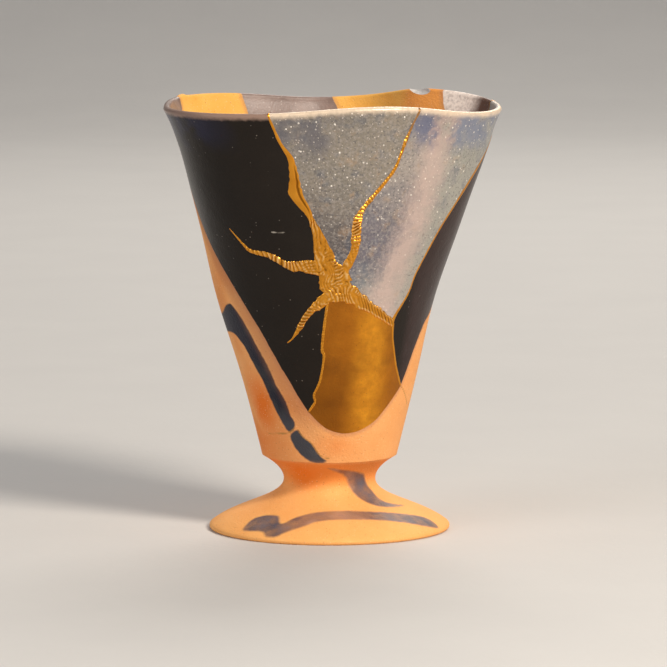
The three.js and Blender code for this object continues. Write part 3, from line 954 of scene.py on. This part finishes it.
class Paint:
    """A node material, with short calls for the nodes that the materials share"""

    def __init__(self, name):
        self.material = bpy.data.materials.new(name)
        self.material.use_nodes = True
        self.tree = self.material.node_tree
        self.shader = self.tree.nodes["Principled BSDF"]
        self.place = self.node("ShaderNodeTexCoord").outputs["Object"]

    def node(self, kind, **settings):
        node = self.tree.nodes.new(kind)
        for key, value in settings.items():
            setattr(node, key, value)
        return node

    def feed(self, socket, value):
        if isinstance(value, bpy.types.NodeSocket):
            self.tree.links.new(value, socket)
        else:
            socket.default_value = value

    def value(self, name):
        """A value that the mesh carries at its points"""
        return self.node("ShaderNodeAttribute", attribute_name=name).outputs["Fac"]

    def outside(self):
        """1 on the outer side of the wall and 0 on its inner side"""
        return self.step(self.value("reach"), -1.3, -0.9)

    def calc(self, operation, a, b):
        node = self.node("ShaderNodeMath", operation=operation)
        self.feed(node.inputs[0], a)
        self.feed(node.inputs[1], b)
        return node.outputs[0]

    def plus(self, a, b):
        return self.calc("ADD", a, b)

    def minus(self, a, b):
        return self.calc("SUBTRACT", a, b)

    def larger(self, a, b):
        return self.calc("MAXIMUM", a, b)

    def smaller(self, a, b):
        return self.calc("MINIMUM", a, b)

    def away_from(self, middle, value):
        return self.calc("ABSOLUTE", self.minus(value, middle), 0)

    def times(self, *factors):
        """The product of some masks and numbers"""
        product = factors[0]
        for factor in factors[1:]:
            product = self.calc("MULTIPLY", product, factor)
        return product

    def step(self, value, low, high):
        """0 below low, 1 above high and smooth between, or the other way round"""
        node = self.node("ShaderNodeMapRange", interpolation_type="SMOOTHSTEP")
        falling = high < low
        self.feed(node.inputs["Value"], value)
        node.inputs["From Min"].default_value = min(low, high)
        node.inputs["From Max"].default_value = max(low, high)
        node.inputs["To Min"].default_value = 1.0 if falling else 0.0
        node.inputs["To Max"].default_value = 0.0 if falling else 1.0
        return node.outputs["Result"]

    def blend(self, factor, low, high):
        """A number between two others"""
        return self.plus(self.times(factor, high - low), low)

    def noise(self, grain, detail=2.0, stretch=(1, 1, 1)):
        """Noise from 0 to 1 with a grain in millimetres"""
        mapping = self.node("ShaderNodeMapping")
        self.feed(mapping.inputs["Vector"], self.place)
        mapping.inputs["Scale"].default_value = stretch
        node = self.node("ShaderNodeTexNoise")
        self.feed(node.inputs["Vector"], mapping.outputs[0])
        node.inputs["Scale"].default_value = 1000 / grain
        node.inputs["Detail"].default_value = detail
        return node.outputs["Fac"]

    def ragged(self, value, sway):
        """A value that sways up and down, by half of the sway at most"""
        return self.plus(value, self.times(self.minus(self.noise(1.6, 3), 0.5), sway))

    def dots(self, grain, size, share):
        """Round dots of varied strength: a share of the cells of that grain, in millimetres, holds
        one, and its size is a share of the cell"""
        node = self.node("ShaderNodeTexVoronoi")
        self.feed(node.inputs["Vector"], self.place)
        node.inputs["Scale"].default_value = 1000 / grain
        pick = self.node("ShaderNodeSeparateColor")
        self.feed(pick.inputs[0], node.outputs["Color"])
        chosen = self.calc("LESS_THAN", pick.outputs[0], share)
        strength = self.times(chosen, self.blend(pick.outputs[1], 0.35, 1.0))
        return self.times(self.step(node.outputs["Distance"], size, size * 0.5), strength)

    def mix(self, factor, first, second):
        """The first colour where the factor is 0, and the second where it is 1 or more"""
        node = self.node("ShaderNodeMix", data_type="RGBA")
        self.feed(node.inputs["Factor"], factor)
        for socket, colour in ((node.inputs[6], first), (node.inputs[7], second)):
            self.feed(socket, colour if isinstance(colour, bpy.types.NodeSocket) else (*colour, 1))
        return node.outputs[2]

    def tint(self, colour, mask, strength, other):
        """A colour drawn towards another one by the strength of a mask"""
        return self.mix(self.times(mask, strength), colour, other)

    def bump(self, height, depth, below=None):
        """A bump whose full height is a depth in millimetres, on top of another one"""
        node = self.node("ShaderNodeBump")
        node.inputs["Distance"].default_value = depth / 1000
        self.feed(node.inputs["Height"], height)
        if below is not None:
            self.feed(node.inputs["Normal"], below)
        return node.outputs[0]

    def finish(self, colour, roughness, normal, **uniform):
        self.feed(self.shader.inputs["Base Color"], colour)
        self.feed(self.shader.inputs["Roughness"], roughness)
        self.feed(self.shader.inputs["Normal"], normal)
        for key, value in uniform.items():
            self.shader.inputs[key.replace("_", " ")].default_value = value
        return self.material


def outer_clay(paint, share):
    """Orange yellow on the foot, peach on the bowl, deep orange in clouds, spots and at the neck"""
    bowl = paint.mix(paint.noise(7, 3), (0.82, 0.35, 0.11), (0.93, 0.46, 0.17))
    foot = paint.mix(paint.noise(7, 3), (0.93, 0.40, 0.105), (0.99, 0.51, 0.17))
    clay = paint.mix(paint.step(share, 0.0, -0.10), bowl, foot)
    clouds = paint.times(paint.step(paint.noise(19, 2), 0.52, 0.74), paint.step(share, -0.14, -0.05))
    clay = paint.tint(clay, clouds, 0.5, (0.70, 0.20, 0.03))
    burnt = paint.times(paint.value("burnt"), paint.blend(paint.noise(4, 3), 0.6, 1.4))
    clay = paint.mix(paint.smaller(burnt, 0.97), clay, (0.80, 0.17, 0.007))
    neck = paint.times(paint.step(share, -0.10, -0.05), paint.step(share, 0.0, -0.012))
    return paint.tint(clay, neck, 0.6, (0.82, 0.25, 0.03))


def inner_clay(paint, share):
    """Bright yellow, and reddish near the rim at the right end of its wedge"""
    clay = paint.mix(paint.noise(6, 2), (0.90, 0.42, 0.07), (0.95, 0.55, 0.13))
    reddish = paint.times(paint.value("inner_wedge_end"), paint.step(share, 0.6, 0.95))
    return paint.tint(clay, reddish, 0.6, (0.80, 0.25, 0.06))


def clay_colour(paint, share, outside):
    """Bare sandy clay, with pale grains and darker pits"""
    clay = paint.mix(outside, inner_clay(paint, share), outer_clay(paint, share))
    grains = paint.dots(0.6, 0.3, 0.45)
    clay = paint.tint(clay, grains, 0.5, (0.98, 0.68, 0.40))
    pits = paint.dots(0.85, 0.28, 0.25)
    return paint.tint(clay, pits, 0.5, (0.42, 0.13, 0.03))


def stroke_colour(paint, share):
    """Brush strokes: nearly black on the bowl, slate at its foot, and thin and grey below"""
    thin = paint.step(paint.noise(6, 3), 0.46, 0.68)
    dense = paint.mix(thin, (0.006, 0.006, 0.018), (0.021, 0.022, 0.029))
    slate = paint.mix(thin, (0.05, 0.052, 0.064), (0.085, 0.085, 0.095))
    mauve = paint.mix(thin, (0.24, 0.13, 0.105), (0.42, 0.23, 0.16))
    bluish = paint.mix(thin, (0.055, 0.058, 0.088), (0.115, 0.11, 0.145))
    washed = paint.mix(paint.value("mauve"), bluish, mauve)
    upper = paint.mix(paint.step(share, 0.10, 0.16), slate, dense)
    return paint.mix(paint.step(share, 0.01, -0.02), upper, washed)


def stroke_masks(paint, share):
    """All the brush strokes, with soft edges on the foot and firm ones on the bowl, and the firm ones
    by themselves"""
    depth = paint.ragged(paint.value("stroke"), 0.6)
    firm = paint.step(depth, -0.25, 0.35)
    soft = paint.times(paint.step(depth, -0.5, 0.7), paint.blend(paint.noise(3, 4), 0.5, 1.2))
    low = paint.step(share, 0.02, -0.03)
    return paint.plus(paint.times(soft, low), paint.times(firm, paint.minus(1, low))), firm


def outer_glaze(paint, share):
    """Near-black brown, reddish on the right, with a blue tint under the rim on the left"""
    dark = paint.mix(paint.noise(14, 4), (0.0085, 0.006, 0.0045), (0.019, 0.0135, 0.0095))
    reddish = paint.mix(paint.noise(3, 4), (0.024, 0.012, 0.011), (0.052, 0.030, 0.027))
    dark = paint.tint(dark, paint.value("reddish"), 0.8, reddish)
    blue = paint.times(
        paint.step(share, 0.87, 0.95), paint.step(paint.noise(10, 3), 0.35, 0.6), paint.value("bluish"),
    )
    return paint.tint(dark, blue, 0.75, (0.022, 0.026, 0.075))


def inner_glaze(paint):
    """Pale mauve grey, browner towards its ends, with painted glints and a painted glare highlight over
    one stretch
    """
    glaze = paint.mix(paint.noise(4, 4), (0.17, 0.12, 0.105), (0.36, 0.265, 0.23))
    ends = paint.larger(paint.value("left_end"), paint.value("right_end"))
    glaze = paint.mix(ends, glaze, (0.135, 0.075, 0.055))
    # Painted glints: fine pale specks
    fine_glints = paint.dots(0.8, 0.33, 0.5)
    glaze = paint.tint(glaze, fine_glints, 0.35, (0.62, 0.52, 0.47))
    # Painted highlight: a bright glare over one stretch inside at the back right
    sparkle = paint.times(paint.value("painted_glare"), paint.noise(0.8, 4))
    return paint.tint(glaze, sparkle, 1.7, (0.95, 0.83, 0.74))


def glaze_colour(paint, share, outside, specks_and_glints):
    """The dark glaze of both sides, with sparse pale specks that are partly real and partly painted
    glints, and a crescent mark
    """
    glaze = paint.mix(outside, inner_glaze(paint), outer_glaze(paint, share))
    glaze = paint.tint(glaze, specks_and_glints, 0.5, (0.42, 0.36, 0.30))
    crescent = paint.step(paint.value("crescent"), 0.36, 0.14)
    return paint.tint(glaze, crescent, 0.85, (0.38, 0.34, 0.29))


def clay_beside_glaze(paint, colour, glaze):
    """The clay has a faint pinkish edge along the glaze, and a wider reddish one on the left."""
    colour = paint.tint(colour, paint.step(glaze, -1.6, -0.1), 0.45, (0.45, 0.19, 0.11))
    strip = paint.times(paint.step(glaze, -6.5, -1.5), paint.value("left_strip"))
    return paint.tint(colour, strip, 0.5, (0.42, 0.16, 0.07))


def wear(paint, colour, share, outside, glazed):
    """The lip, where the glaze has run thin with a ragged lower edge, the fine cracks and the chip"""
    lip = paint.times(paint.step(paint.ragged(share, 0.012), 0.977, 0.990), outside, glazed)
    colour = paint.tint(colour, lip, 0.85, (0.33, 0.215, 0.165))
    crack = paint.step(paint.value("crack"), 0.4, 0.1)
    colour = paint.tint(colour, crack, 0.7, (0.42, 0.20, 0.04))
    chipped = paint.step(paint.value("chip"), 1.06, 1.02)
    pale = paint.mix(paint.noise(1, 3), (0.45, 0.42, 0.40), (0.85, 0.82, 0.78))
    return paint.mix(chipped, colour, pale)


def body_bumps(paint, glazed, specks_and_glints):
    """Sandy clay, smoother under the glaze, which stands a little proud of it"""
    sand = paint.times(paint.noise(0.5, 3), paint.blend(paint.minus(1, glazed), 0.35, 1.0))
    normal = paint.bump(glazed, 0.06)
    normal = paint.bump(sand, 0.16, normal)
    normal = paint.bump(paint.times(specks_and_glints, glazed), 0.10, normal)
    return paint.bump(paint.noise(4, 2), 0.12, normal)


def body_material():
    paint = Paint("clay_and_glaze")
    share = paint.value("share")
    outside = paint.outside()
    strokes, firm_strokes = stroke_masks(paint, share)
    glaze = paint.ragged(paint.value("glaze"), 0.3)
    glazed = paint.step(glaze, -0.08, 0.12)
    # Pale specks of the glaze, partly real and partly painted glints
    specks_and_glints = paint.dots(1.5, 0.13, 0.3)
    colour = paint.mix(strokes, clay_colour(paint, share, outside), stroke_colour(paint, share))
    colour = clay_beside_glaze(paint, colour, glaze)
    colour = paint.mix(glazed, colour, glaze_colour(paint, share, outside, specks_and_glints))
    colour = wear(paint, colour, share, outside, glazed)
    covered = paint.larger(glazed, paint.times(firm_strokes, 0.6))
    paint.feed(paint.shader.inputs["Specular IOR Level"], paint.blend(glazed, 0.3, 0.17))
    return paint.finish(colour, paint.blend(covered, 0.72, 0.30), body_bumps(paint, glazed, specks_and_glints))


def middle_piece_colour(paint, cloudy):
    """Warm grey over a darker violet grey"""
    upper = paint.mix(paint.noise(8, 3), (0.17, 0.158, 0.137), (0.34, 0.285, 0.22))
    lower = paint.mix(paint.noise(6, 3), (0.078, 0.066, 0.068), (0.135, 0.113, 0.110))
    return paint.mix(paint.step(cloudy, 0.70, 0.92), lower, upper)


def right_piece_colour(paint, share, cloudy):
    """Left of the painted highlight streak a warm grey that turns violet and then blue lower down, right
    of it a greenish grey, and a pale foot"""
    warm = paint.mix(paint.noise(6, 3), (0.265, 0.24, 0.22), (0.42, 0.36, 0.315))
    violet = paint.mix(paint.noise(5, 3), (0.125, 0.113, 0.135), (0.215, 0.195, 0.22))
    blue = paint.mix(paint.noise(3, 3), (0.078, 0.092, 0.128), (0.145, 0.165, 0.205))
    left = paint.mix(paint.step(cloudy, 0.76, 0.94), violet, warm)
    left = paint.mix(paint.step(cloudy, 0.70, 0.60), left, blue)
    green = paint.mix(paint.noise(9, 3), (0.29, 0.285, 0.25), (0.42, 0.405, 0.35))
    offset = paint.plus(paint.value("highlight_streak"), paint.times(paint.noise(5, 4), 7))
    colour = paint.mix(paint.step(offset, 0.0, 8.0), left, green)
    cream = paint.mix(paint.noise(3, 3), (0.28, 0.29, 0.29), (0.47, 0.42, 0.35))
    foot = paint.plus(share, paint.times(paint.noise(5, 3), 0.12))
    return paint.mix(paint.step(foot, 0.64, 0.50), colour, cream)


def shard_clouds(paint, share, right):
    """The ground colour of both blue pieces, with slate and amber clouds, mottle and painted shade in
    small dimples
    """
    cloudy = paint.plus(share, paint.times(paint.noise(9, 3), 0.2))
    colour = paint.mix(
        right, middle_piece_colour(paint, cloudy), right_piece_colour(paint, share, cloudy),
    )
    slate = paint.step(paint.noise(4, 3), 0.52, 0.72)
    colour = paint.tint(colour, slate, 0.5, (0.11, 0.13, 0.17))
    amber = paint.step(paint.noise(3.4, 3), 0.56, 0.76)
    colour = paint.tint(colour, amber, 0.45, (0.46, 0.30, 0.17))
    mottle = paint.step(paint.noise(0.8, 3), 0.42, 0.66)
    colour = paint.tint(colour, mottle, 0.45, (0.41, 0.37, 0.335))
    # Painted shade: dark spots standing for small dimples in shadow
    shaded_dimples = paint.step(paint.noise(0.7, 3, (1, 1, 1.3)), 0.52, 0.72)
    return paint.tint(colour, shaded_dimples, 0.6, (0.065, 0.066, 0.08))


def highlight_streak_mask(paint, share, right):
    """The painted highlight streak down the right piece, broken up into clouds"""
    offset = paint.away_from(-1.0, paint.ragged(paint.value("highlight_streak"), 6.0))
    pearl = paint.times(
        paint.step(offset, 9.0, 0.0), paint.blend(paint.noise(4, 4), 0.3, 1.35),
        paint.step(share, 0.95, 0.86), right,
    )
    return paint.smaller(pearl, 0.85)


def rim_band(paint, share, right):
    """The band under the rim: a mask and its colour, slate on the left half of the middle piece and
    blue on the right piece, but for a rosy gap where the painted highlight streak runs up through it"""
    azimuth = paint.value("azimuth")
    left_half = paint.step(azimuth, 9.0, -4.0)
    height = paint.plus(paint.ragged(share, 0.05), paint.times(left_half, 0.04))
    height = paint.plus(height, paint.times(right, 0.02))
    band = paint.times(
        paint.step(height, 0.89, 0.955), paint.step(paint.noise(6, 3), 0.28, 0.6),
        paint.larger(left_half, right), 0.75,
    )
    blue = paint.mix(paint.step(azimuth, 48.0, 58.0), (0.085, 0.11, 0.215), (0.17, 0.20, 0.30))
    # The rosy gap is painted highlight: the top of the highlight streak
    beside_gap = paint.step(paint.ragged(paint.away_from(51.0, azimuth), 12.0), 2.0, 9.0)
    blue = paint.mix(beside_gap, (0.52, 0.37, 0.33), blue)
    return band, paint.mix(right, (0.12, 0.115, 0.135), blue)


def shard_painted_glints(paint, share):
    """Masks of painted glints, highlights of the glaze's small bumps, most of them high up, and of finer
    painted glints between them
    """
    high = paint.blend(paint.step(share, 0.55, 0.8), 0.4, 1.0)
    large = paint.times(paint.dots(1.9, 0.18, 0.85), high)
    small = paint.times(paint.dots(1.05, 0.22, 0.8), high)
    return large, small, paint.dots(0.6, 0.26, 0.5)


def shard_material():
    paint = Paint("blue_glaze")
    share = paint.value("share")
    right = paint.value("right")
    colour = shard_clouds(paint, share, right)
    # Painted highlight: a pale streak down the right piece
    colour = paint.mix(highlight_streak_mask(paint, share, right), colour, (0.58, 0.44, 0.385))
    band, band_colour = rim_band(paint, share, right)
    colour = paint.mix(band, colour, band_colour)
    large, small, fine_glints = shard_painted_glints(paint, share)
    # Painted glints: pale and bright specks of highlight
    colour = paint.tint(colour, fine_glints, 0.35, (0.60, 0.50, 0.42))
    colour = paint.tint(colour, small, 0.75, (0.86, 0.76, 0.66))
    colour = paint.mix(large, colour, (1.0, 0.93, 0.84))
    lip = paint.times(
        paint.step(paint.ragged(share, 0.012), 0.976, 0.997), paint.blend(paint.outside(), 0.3, 0.95),
    )
    colour = paint.mix(lip, colour, (0.86, 0.68, 0.50))
    normal = paint.bump(paint.larger(large, paint.larger(small, fine_glints)), 0.12)
    normal = paint.bump(paint.noise(0.9, 3), 0.16, normal)
    normal = paint.bump(paint.noise(5, 2), 0.15, normal)
    roughness = paint.blend(paint.noise(3, 3), 0.26, 0.46)
    return paint.finish(colour, roughness, normal, Metallic=0.2, Specular_IOR_Level=0.5)


def patch_material():
    """Satin gold with cloudy tarnish, darker low on the left, and a painted highlight down it"""
    paint = Paint("matte_gold")
    cloud = paint.noise(5, 5)
    offset = paint.value("highlight_streak")
    colour = paint.mix(cloud, (0.36, 0.115, 0.007), (0.62, 0.225, 0.017))
    tarnish = paint.step(paint.noise(11, 4), 0.45, 0.66)
    colour = paint.tint(colour, tarnish, 0.6, (0.24, 0.082, 0.009))
    low_left = paint.times(paint.step(offset, -1.0, -9.0), paint.step(paint.value("share"), 0.35, 0.2))
    colour = paint.tint(colour, low_left, 0.5, (0.22, 0.072, 0.006))
    # Painted highlight: a bright band down the gilded piece
    painted_highlight = paint.times(paint.step(paint.away_from(0, offset), 8.0, 0.0), paint.noise(3, 4))
    colour = paint.tint(colour, painted_highlight, 1.25, (1.0, 0.44, 0.03))
    mottle = paint.noise(0.9, 4)
    colour = paint.tint(colour, mottle, 0.35, (0.24, 0.082, 0.008))
    pits = paint.dots(0.7, 0.2, 0.25)
    colour = paint.tint(colour, pits, 0.7, (0.16, 0.06, 0.01))
    grains = paint.dots(1.6, 0.12, 0.3)
    normal = paint.bump(paint.minus(grains, pits), 0.08)
    normal = paint.bump(paint.noise(0.5, 3), 0.07, normal)
    normal = paint.bump(paint.noise(4, 3), 0.22, normal)
    return paint.finish(colour, paint.blend(cloud, 0.38, 0.58), normal, Metallic=0.85)


def vein_material():
    """Bright gold with painted highlights on the ridges of its folds and painted shade in their hollows,
    and worn near the rim
    """
    paint = Paint("bright_gold")
    relief = paint.value("relief")
    colour = paint.mix(paint.noise(3, 3), (0.60, 0.225, 0.018), (0.84, 0.37, 0.042))
    # Painted highlight on the ridges of the folds, then painted shade in their hollows, both set by the
    # relief
    colour = paint.tint(colour, paint.step(relief, 0.05, 0.15), 0.75, (1.0, 0.64, 0.25))
    colour = paint.tint(colour, paint.step(relief, 0.0, -0.13), 0.85, (0.20, 0.065, 0.005))
    colour = paint.tint(colour, paint.value("worn"), 0.75, (0.36, 0.21, 0.11))
    roughness = paint.blend(paint.noise(2, 2), 0.25, 0.40)
    return paint.finish(colour, roughness, paint.bump(paint.noise(0.35, 2), 0.04), Metallic=1.0)


# Stage, in metres

def floor_and_backdrop():
    """A pale floor that sweeps up far behind the goblet"""
    reach = 3.0
    bend_start = 1.2
    bend_radius = 0.8
    top = 4.0
    profile = [(-reach, 0.0), (bend_start, 0.0)]
    for angle in np.radians(np.linspace(0, 90, 17))[1:]:
        out = bend_start + bend_radius * math.sin(angle)
        profile.append((out, bend_radius * (1 - math.cos(angle))))
    profile.append((bend_start + bend_radius, top))
    points = np.array([(x, y, z) for y, z in profile for x in (-reach, reach)])
    start = 2 * np.arange(len(profile) - 1)
    quads = np.stack([start, start + 1, start + 3, start + 2], axis=1)
    floor = mesh_object("floor", points, [quads])
    floor.data.shade_smooth()
    paint = Paint("pale_floor")
    colour = paint.mix(paint.noise(40, 3), (0.60, 0.585, 0.565), (0.64, 0.625, 0.60))
    floor.data.materials.append(paint.finish(colour, 0.8, paint.bump(paint.noise(3, 2), 0.1)))


def soft_light(name, place, aim, size, power, colour):
    light = bpy.data.lights.new(name, "AREA")
    light.shape = "DISK"
    light.size = size
    light.energy = power
    light.color = colour
    lamp = bpy.data.objects.new(name, light)
    lamp.location = place
    lamp.rotation_euler = (Vector(aim) - Vector(place)).to_track_quat("-Z", "Y").to_euler()
    bpy.context.scene.collection.objects.link(lamp)


def lights():
    middle = (0, 0, 0.06)
    soft_light("key", (0.7, -0.8, 0.8), middle, 0.35, 17, (1.0, 0.91, 0.80))
    soft_light("fill", (-1.0, -0.8, 0.5), middle, 0.9, 5, (0.95, 0.97, 1.0))
    soft_light("back", (0.2, 1.0, 0.9), middle, 0.8, 8, (1.0, 0.95, 0.88))
    world = bpy.data.worlds.new("studio")
    world.use_nodes = True
    world.node_tree.nodes["Background"].inputs["Color"].default_value = (0.9, 0.92, 1.0, 1)
    world.node_tree.nodes["Background"].inputs["Strength"].default_value = 0.2
    bpy.context.scene.world = world
    bpy.context.scene.view_settings.view_transform = "Standard"


def camera():
    """The photograph's view: from in front, a little above the rim and looking slightly down"""
    distance = 1.6
    height = 0.251
    aside = 0.00108
    look_down = 7.06
    lens = bpy.data.cameras.new("camera")
    lens.lens = 322.2
    lens.sensor_width = 36
    lens.clip_end = 50
    viewer = bpy.data.objects.new("camera", lens)
    viewer.location = (aside, -distance, height)
    viewer.rotation_euler = (math.radians(90 - look_down), 0, 0)
    bpy.context.scene.collection.objects.link(viewer)
    bpy.context.scene.camera = viewer


# The goblet

# Edges with a sharper turn than this stay sharp.
SHARP_ANGLE = math.radians(38)


def place_piece(piece, material, unit):
    """Scales a piece to metres, gives it its material and puts it in its CAD solid's place."""
    piece.data.transform(Matrix.Scale(unit, 4))
    piece.data.shade_smooth()
    piece.data.set_sharp_from_angle(angle=SHARP_ANGLE)
    piece.data.materials.clear()
    piece.data.materials.append(material)
    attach(piece, "root")
    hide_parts(piece.name)


def cad_unit():
    """Metres per millimetre of the form above, from the height of the CAD model's body"""
    azimuth = np.linspace(-np.pi, np.pi, 721)
    crest = RIM_HEIGHT + np.max(wave_sum(RIM_WAVES, azimuth))
    _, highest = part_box("goblet_body")
    return highest[2] / crest


unit = cad_unit()
blue = shard_material()
looks = {
    "goblet_body": (body_material(), "clay_body"),
    "blue_shard_middle": (blue, "blue_glaze"),
    "blue_shard_right": (blue, "blue_glaze"),
    "gold_patch": (patch_material(), "matte_gold"),
    "gold_veins": (vein_material(), "bright_gold"),
}
# The CAD solids make way for pieces of the same names.
for name in looks:
    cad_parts[name].name = name + "_cad"
seams = smooth_seams()
pieces = cut_pieces(seams)
pieces["gold_veins"] = gold_veins(seams)
paint_body(pieces["goblet_body"])
paint_shard(pieces["blue_shard_middle"])
paint_shard(pieces["blue_shard_right"])
paint_patch(pieces["gold_patch"])
for name, (material, slot) in looks.items():
    pieces[name].name = name
    place_piece(pieces[name], material, unit)
floor_and_backdrop()
lights()
camera()
